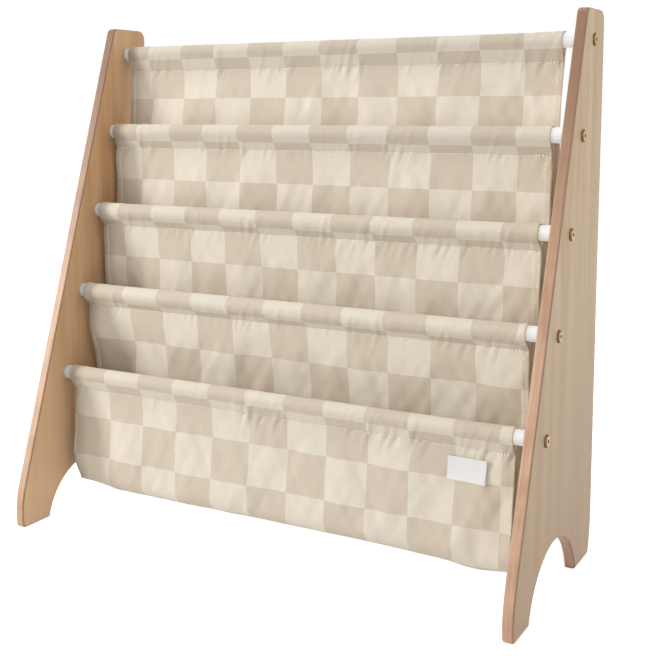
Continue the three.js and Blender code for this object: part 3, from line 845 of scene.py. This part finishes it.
def cloth_place(row, across):
    """A place on the middle of the cloth, from its row and how far across the strip it is."""
    (y, z), curtain, share, way = row
    first = min(int(curtain), len(rod_axes) - 1)
    blend = curtain - first
    second = min(first + 1, len(rod_axes) - 1)
    folds = fold_push(first, across, z)
    drawn_in = fold_share(first, z)
    spread = left_spread(first, z)
    if blend:
        folds += blend * (fold_push(second, across, z) - folds)
        drawn_in += blend * (fold_share(second, z) - drawn_in)
        spread += blend * (left_spread(second, z) - spread)
    stand_out = share * gather(first, across, z)
    if share < 1:
        stand_out = max(stand_out, -touch_gap / 2)
    edge = sling_width / 2 - abs(across)
    for width, rise in side_hems:
        stand_out += rise * (1 - smooth_share(edge, width - hem_step_width, width))
    x = sling_middle + across * (1 - 2 * side_pull_in / sling_width * drawn_in)
    x -= spread * (1 - smooth_share(across + sling_width / 2, 0, left_spread_length))
    calm = 1
    if z < pocket_crease_top:
        # The lowest pocket: creased at its left end, and bulging down near its right end
        end = 1 - smooth_share(across + sling_width / 2, 0, pocket_crease_length)
        y, z = Vector((y, z)).lerp(creased_place(row), end)
        sag = math.sin(math.pi * max(curtain - lowest_sling, 0))
        x += end * sag * pocket_end_pull_in
        calm = 1 - pocket_calm * sag
        droop = math.exp(-((across - pocket_droop_place) / pocket_droop_half_width) ** 2)
        lift = (1 - end) * (1 - smooth_share(across, *pocket_lift_end))
        z += sag * (pocket_lift * lift - pocket_droop * droop)
    return Vector((x, y + folds * calm + way.x * stand_out, z + way.y * stand_out))


# Canvas: plain-woven cotton, printed right through, so both colours keep the same dry, matt
# surface with thick and thin threads. The weave is drawn twice as coarse as real, to show.
thread_spacing = 1.0 * mm
slub_width = 1.3 * mm
slub_length = 30 * mm
soft_edge = 0.35 * mm
cream = linear("#E9DFCE")
beige = linear("#D9CBB7")

canvas, tree = new_material("checked cotton canvas")
coords = add_node(tree, "ShaderNodeTexCoord")
flat = coords.outputs["UV"]
stray = add_node(tree, "ShaderNodeTexNoise", {
    "Vector": flat, "Scale": check_cell / thread_spacing, "Detail": 1.0})
stray = add_node(tree, "ShaderNodeVectorMath", {0: stray.outputs["Color"], 1: (-0.5, -0.5, -0.5)})
stray = add_node(tree, "ShaderNodeVectorMath", {0: stray.outputs[0], "Scale": 2 * soft_edge / check_cell},
                 operation="SCALE")
wandering = add_node(tree, "ShaderNodeVectorMath", {0: flat, 1: stray.outputs[0]})
level_only = add_node(tree, "ShaderNodeVectorMath", {0: wandering.outputs[0], 1: (1, 1, 0)},
                      operation="MULTIPLY")
checks = add_node(tree, "ShaderNodeTexChecker", {
    "Vector": level_only.outputs[0], "Color1": cream, "Color2": beige, "Scale": 1.0})
slubs = []
for thin, long in ((slub_width, slub_length), (slub_length, slub_width)):
    drawn = add_node(tree, "ShaderNodeMapping", {
        0: flat, "Scale": (check_cell / thin, check_cell / long, 1)})
    slubs.append(add_node(tree, "ShaderNodeTexNoise", {
        "Vector": drawn.outputs[0], "Scale": 1.0, "Detail": 2.0}).outputs[0])
slub = add_node(tree, "ShaderNodeMath", {0: slubs[0], 1: slubs[1]})
shade = add_node(tree, "ShaderNodeMapRange", {
    "Value": slub.outputs[0], "From Min": 0.7, "From Max": 1.3, "To Min": 0.975, "To Max": 1.02})
# Painted shade: the attribute read here darkens the colour on the bands under the casings and along the
# strips' left edges.
painted_shade = add_node(tree, "ShaderNodeAttribute", attribute_name="painted_shade")
unshaded_share = add_node(tree, "ShaderNodeMath", {0: 1.0, 1: painted_shade.outputs["Fac"]}, operation="SUBTRACT")
shade = add_node(tree, "ShaderNodeMath", {0: shade.outputs[0], 1: unshaded_share.outputs[0]},
                 operation="MULTIPLY")
colour = add_node(tree, "ShaderNodeVectorMath", {0: checks.outputs[0], "Scale": shade.outputs[0]},
                  operation="SCALE")
threads = []
for direction in ("X", "Y"):
    threads.append(add_node(tree, "ShaderNodeTexWave", {
        "Vector": flat, "Scale": check_cell / thread_spacing * math.pi / 10, "Distortion": 0.6,
        "Detail": 1.0, "Detail Scale": 2.0}, bands_direction=direction).outputs[1])
weave = add_node(tree, "ShaderNodeMath", {0: threads[0], 1: threads[1]}, operation="MULTIPLY")
relief = add_node(tree, "ShaderNodeMath", {0: weave.outputs[0], 1: slub.outputs[0]})
bump = add_node(tree, "ShaderNodeBump", {
    "Height": relief.outputs[0], "Strength": 0.16, "Distance": 0.15 * mm})
shader = add_node(tree, "ShaderNodeBsdfPrincipled", {
    "Base Color": colour.outputs[0], "Roughness": 0.88, "Normal": bump.outputs[0],
    "Specular IOR Level": 0.25, "Sheen Weight": 0.15, "Sheen Roughness": 0.5})
add_node(tree, "ShaderNodeOutputMaterial", {"Surface": shader.outputs[0]})

# Where the checks fall. Columns: the X where one starts at the strip's upper and lower
# end, and how wide one is where the cloth is a little gathered on its rod, and between
# which shares of the strip's length it drifts from the one X to the other. Rows: how
# deep below the rod a row ends on the front of the casing.
check_columns = ((-257, -256, 49.4), (-252.5, -250.5, 49.4), (-308, -308, 49.8), (-229, -234, 50))
check_drift_shares = (0.2, 0.6)
check_row_depths = (6.9 * mm, 9.5 * mm, 7.4 * mm, 8.2 * mm)
lowest_upper_cell_end = 59.9 * mm
lowest_front_cell_start = 100.3 * mm
lowest_casing_row_depth = 4.7 * mm
lowest_front_cells = 2
lowest_hidden_cells = 6


def check_rows(k, rows, along):
    """The row of checks that each row of the cloth lies in, counted in cells along the strip."""
    seam = rows.index(seam_rows[k][0])
    bottom = min(range(len(rows)), key=lambda i: rows[i][0].y)

    def length_at(z, span):
        nearest = min(span, key=lambda i: abs(rows[i][0].y - z))
        return along[nearest]

    start = along[seam] - stitch_drops[k] + check_row_depths[k]
    if k < lowest_sling:
        return [(length - start) / check_cell for length in along]
    upper_end = length_at(rod_axes[k].y - lowest_upper_cell_end, range(seam, bottom))
    front_seam = rows.index(seam_rows[k + 1][0])
    front_end = along[front_seam] + stitch_drops[k + 1] - lowest_casing_row_depth
    front_start = length_at(rod_axes[k + 1].y - lowest_front_cell_start, range(bottom, front_seam))
    marks = [(start, 0), (upper_end, 1), (front_start, 1 + lowest_hidden_cells),
             (front_end, 1 + lowest_hidden_cells + lowest_front_cells)]
    counted = []
    for length in along:
        if length < start:
            counted.append((length - start) / check_cell)
        elif length >= front_end:
            counted.append(marks[-1][1] + (length - front_end) / check_cell)
        else:
            low, high = next(pair for pair in zip(marks, marks[1:]) if length < pair[1][0])
            counted.append(low[1] + (high[1] - low[1]) * (length - low[0]) / (high[0] - low[0]))
    return counted


def painted_shade_rows(k, rows):
    """How much painted shade each row gets: from the front of a casing to its seam the cloth
    lies in two layers, and a painted shade stands for the light that does not come through.
    A lighter painted shade, fading out, lies on the rows below the seam where its tail ends."""
    shades = [0] * len(rows)
    band = leg_steps + 2
    for curtain, step in ((k, -1), (k + 1, 1)):
        if curtain in seam_rows:
            seam = rows.index(seam_rows[curtain][0])
            for i in range(band + casing_steps):
                share = smooth_share(i, band + casing_steps / 2, band)
                shades[seam + step * i] = share * painted_band_shades[curtain]
            for i in range(1, painted_tail_shade_rows):
                shades[seam - step * i] = painted_tail_shade * (1 - i / painted_tail_shade_rows)
    return shades


# Stations across the strip: close together over the side hems, wider between them
hem_stations = 8
middle_stations = 236
hem_zone = 12 * mm
hem_run = [hem_zone * i / hem_stations for i in range(hem_stations)]
stations = [step - sling_width / 2 for step in hem_run]
stations += [(sling_width - 2 * hem_zone) * (i / middle_stations - 1 / 2) for i in range(middle_stations + 1)]
stations += [sling_width / 2 - step for step in reversed(hem_run)]

seam_rows = {}
caught_rows = {}
sling_lines = []
for k in range(lowest_sling + 1):
    rows = sling_rows(k)
    along = [0]
    for before, after in zip(rows, rows[1:]):
        along.append(along[-1] + (after[0] - before[0]).length)
    cells = check_rows(k, rows, along)
    shades = painted_shade_rows(k, rows)
    bm = bmesh.new()
    uv = bm.loops.layers.uv.new("flat_cloth")
    painted_shade = bm.verts.layers.float.new("painted_shade")
    bmesh.ops.create_grid(bm, x_segments=len(stations) - 1, y_segments=len(rows) - 1, size=1)
    flat_places = {}
    drift_start, drift_end = (along[-1] * share for share in check_drift_shares)
    upper, lower, column_width = check_columns[k]
    for vertex in bm.verts:
        i = round((vertex.co.x + 1) / 2 * (len(stations) - 1))
        j = round((vertex.co.y + 1) / 2 * (len(rows) - 1))
        across, row = stations[i], rows[j]
        vertex.co = cloth_place(row, across)
        from_left = across + sling_width / 2
        # Painted shadow along the left edge, laid over the row's painted shade.
        hem = painted_left_shadow * (1 - smooth_share(from_left, 0, painted_left_shadow_fade))
        vertex[painted_shade] = shades[j] + hem * (1 - shades[j])
        start = upper + (lower - upper) * smooth_share(along[j], drift_start, drift_end)
        flat_places[vertex.index] = (((sling_middle + across) / mm - start) / column_width, cells[j])
    for face in bm.faces:
        for loop in face.loops:
            loop[uv].uv = flat_places[loop.vert.index]
    sling = finish_piece(f"canvas_sling_{k + 1}", bm, canvas, "sling_canvas", f"sling_{k + 1}")
    body = sling.modifiers.new("cloth_thickness", "SOLIDIFY")
    body.thickness = cloth_thickness
    body.offset = 0
    sling_lines.append((rows, along))


# Sewing: lockstitches of thick cream cotton thread along each rod's seam, showing on
# the front and on the back, doubled over the last stretch at the right. A zigzag of the
# same thread holds the hem along both sides of each strip, inside its pocket.
stitch_length = 3.3 * mm
stitch_pitch = 3.6 * mm
thread_radius = 0.62 * mm
thread_proud = 0.7
seam_end_margin = 4 * mm
back_stitch_length = 15 * mm
back_stitch_drop = 0.9 * mm
zigzag_from_edge = 6 * mm
zigzag_width = 4.4 * mm
zigzag_pitch = 1.8 * mm
zigzag_unevenness = 0.6
zigzag_uneven_run = 3 * zigzag_pitch
zigzag_thread_radius = 0.31 * mm
ply_width = 0.5 * mm

thread, tree = new_material("cream cotton thread")
coords = add_node(tree, "ShaderNodeTexCoord")
ply = add_node(tree, "ShaderNodeTexWave", {
    "Vector": coords.outputs["Object"], "Scale": math.pi / 10 / ply_width, "Distortion": 1.0},
    bands_direction="DIAGONAL")
tint = add_node(tree, "ShaderNodeMix", {
    0: ply.outputs[1], 6: linear("#F7EDDB"), 7: linear("#FFF9EE")}, data_type="RGBA")
bump = add_node(tree, "ShaderNodeBump", {"Height": ply.outputs[1], "Strength": 0.4, "Distance": 0.1 * mm})
shader = add_node(tree, "ShaderNodeBsdfPrincipled", {
    "Base Color": tint.outputs[2], "Roughness": 0.7, "Normal": bump.outputs[0], "Sheen Weight": 0.2})
add_node(tree, "ShaderNodeOutputMaterial", {"Surface": shader.outputs[0]})


def add_stitch(bm, start, end, out, radius, depth):
    """One stitch: a rounded bar from start to end that stands out both ways along out."""
    along = (end - start).normalized()
    across = along.cross(out).normalized()
    out = across.cross(along)
    axes = Matrix((along * (end - start).length / 2, across * radius, out * depth)).transposed().to_4x4()
    stitch_mesh = bpy.data.meshes.new("stitch")
    bar = bmesh.new()
    bmesh.ops.create_icosphere(bar, subdivisions=1, radius=1,
                               matrix=Matrix.Translation((start + end) / 2) @ axes)
    bar.to_mesh(stitch_mesh)
    bar.free()
    bm.from_mesh(stitch_mesh)
    bpy.data.meshes.remove(stitch_mesh)


def add_seam(bm, row, back, margin_left, margin_right, drop):
    """A line of stitches along a seam's row, on its front or on its back."""
    across = margin_left - sling_width / 2
    out = cloth_thickness / 2 + thread_proud * thread_radius
    step_out = Vector((0, out if back else -out, -drop))
    while across + stitch_length < sling_width / 2 - margin_right:
        start = cloth_place(row, across) + step_out
        end = cloth_place(row, across + stitch_length) + step_out
        add_stitch(bm, start, end, Vector((0, 1, 0)), thread_radius, thread_radius)
        across += stitch_pitch


def add_zigzag(bm, rows, along, side, first, last):
    """An uneven zigzag on the hem along one side of a strip, from one row to another."""
    edge = side * (sling_width / 2 - zigzag_from_edge)
    at, i, previous = along[first] + zigzag_pitch, first, None
    swing = 1
    while at < along[last] - zigzag_pitch:
        while along[i + 1] < at:
            i += 1
        share = (at - along[i]) / (along[i + 1] - along[i])
        unevenness = zigzag_unevenness * noise.noise((at / zigzag_uneven_run, side, first))
        width = zigzag_width * (1 + unevenness)
        across = edge + swing * width / 2
        low, high = cloth_place(rows[i], across), cloth_place(rows[i + 1], across)
        out = (high - low).cross(Vector((1, 0, 0))).normalized()
        place = low.lerp(high, share) + out * cloth_thickness / 2
        if previous:
            add_stitch(bm, previous, place, out, zigzag_thread_radius, zigzag_thread_radius)
        previous, swing, at = place, -swing, at + zigzag_pitch


for k, (rows, along) in enumerate(sling_lines):
    bm = bmesh.new()
    first = rows.index(seam_rows[k][0])
    last = rows.index(seam_rows[k + 1][0]) if k == lowest_sling else len(rows) - 1
    for side in (-1, 1):
        add_zigzag(bm, rows, along, side, first, last)
    seams = [(*seam_rows[k], k)] if k < lowest_sling else [(*seam_rows[k], k), (*seam_rows[k + 1], k + 1)]
    for front_row, rear_row, curtain in seams:
        rear_row = caught_rows.get(curtain, rear_row)
        back_stitch_start = sling_width - seam_end_margin - back_stitch_length
        for row, back in ((front_row, False), (rear_row, True)):
            add_seam(bm, row, back, seam_end_margin, seam_end_margin, 0)
            add_seam(bm, row, back, back_stitch_start, seam_end_margin, back_stitch_drop)
    stitching = finish_piece(f"sling_stitching_{k + 1}", bm, thread, "sling_canvas")


# Label: a bare slip of white woven satin, lying on the front of the lowest sling near
# its right end and sewn down by its two short sides. Its right end lifts a little, most at the top.
label_width = 43 * mm
label_height = 25.5 * mm
label_from_sling_edge = 28 * mm
label_below_rod = 29 * mm
label_thickness = 0.35 * mm
label_gap = 0.3 * mm
label_curl = 1.1 * mm
label_curl_length = 9 * mm
label_stitch_pitch = 2.4 * mm
label_stitch_length = 1.92 * mm
label_thread_radius = 0.31 * mm
label_stitch_inset = 1.6 * mm
satin_thread = 0.35 * mm
label_columns = 30
label_rows = 18

satin, tree = new_material("white woven satin")
coords = add_node(tree, "ShaderNodeTexCoord")
threads = add_node(tree, "ShaderNodeTexWave", {
    "Vector": coords.outputs["Object"], "Scale": math.pi / 10 / satin_thread, "Distortion": 0.5},
    bands_direction="Z")
tint = add_node(tree, "ShaderNodeMix", {
    0: threads.outputs[1], 6: linear("#E8E7E4"), 7: linear("#F3F2EF")}, data_type="RGBA")
bump = add_node(tree, "ShaderNodeBump", {
    "Height": threads.outputs[1], "Strength": 0.2, "Distance": 0.05 * mm})
shader = add_node(tree, "ShaderNodeBsdfPrincipled", {
    "Base Color": tint.outputs[2], "Roughness": 0.5, "Normal": bump.outputs[0], "Sheen Weight": 0.25})
add_node(tree, "ShaderNodeOutputMaterial", {"Surface": shader.outputs[0]})

front_rows = [row for row in sling_lines[lowest_sling][0] if row[1] == lowest_sling + 1]
front_rows = front_rows[:front_rows.index(seam_rows[lowest_sling + 1][0])]
label_right = sling_width / 2 - label_from_sling_edge
label_bottom = rod_axes[-1].y - label_below_rod - label_height


def cloth_at(across, z):
    """A place on the front of the lowest sling, from how far across it is and its height."""
    upper = next(i for i, row in enumerate(front_rows) if row[0].y >= z)
    below, above = front_rows[upper - 1], front_rows[upper]
    share = (z - below[0].y) / (above[0].y - below[0].y)
    return cloth_place(below, across).lerp(cloth_place(above, across), share)


# The fold that reaches furthest forward behind the label sets how far it stands off
label_stand_off = 0
for i in range(label_columns + 1):
    for j in range(label_rows + 1):
        z, share = label_bottom + label_height * j / label_rows, i / label_columns
        left, right = cloth_at(label_right - label_width, z), cloth_at(label_right, z)
        fold = cloth_at(label_right - label_width * (1 - share), z)
        label_stand_off = max(label_stand_off, left.lerp(right, share).y - fold.y)
label_stand_off += cloth_thickness / 2 + label_gap


def label_place(from_left, up):
    """A place on the label. It lies straight across the folds of the cloth, in front of them."""
    z = label_bottom + up
    left, right = cloth_at(label_right - label_width, z), cloth_at(label_right, z)
    share = from_left / label_width
    curl = label_curl * (1 - smooth_share(label_width - from_left, 0, label_curl_length)) * up / label_height
    return left.lerp(right, share) - Vector((0, label_stand_off + curl, 0))


bm = bmesh.new()
bmesh.ops.create_grid(bm, x_segments=label_columns, y_segments=label_rows, size=1)
for vertex in bm.verts:
    vertex.co = label_place((vertex.co.x + 1) / 2 * label_width, (vertex.co.y + 1) / 2 * label_height)
label = finish_piece("satin_label", bm, satin, "label_satin", "sewn_label")
body = label.modifiers.new("slip_thickness", "SOLIDIFY")
body.thickness = label_thickness
body.offset = 0

bm = bmesh.new()
for from_left in (label_stitch_inset, label_width - label_stitch_inset):
    up = label_stitch_pitch / 2
    while up + label_stitch_pitch < label_height:
        step_out = Vector((0, -label_thickness / 2, 0))
        start = label_place(from_left, up) + step_out
        end = label_place(from_left, up + label_stitch_length) + step_out
        add_stitch(bm, start, end, Vector((0, 1, 0)), label_thread_radius, label_thread_radius)
        up += label_stitch_pitch
label_stitching = finish_piece("label_stitching", bm, satin, "label_satin")

size = {"cad": [list(corner) for corner in cad_box], "visual": [list(corner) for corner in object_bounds()]}
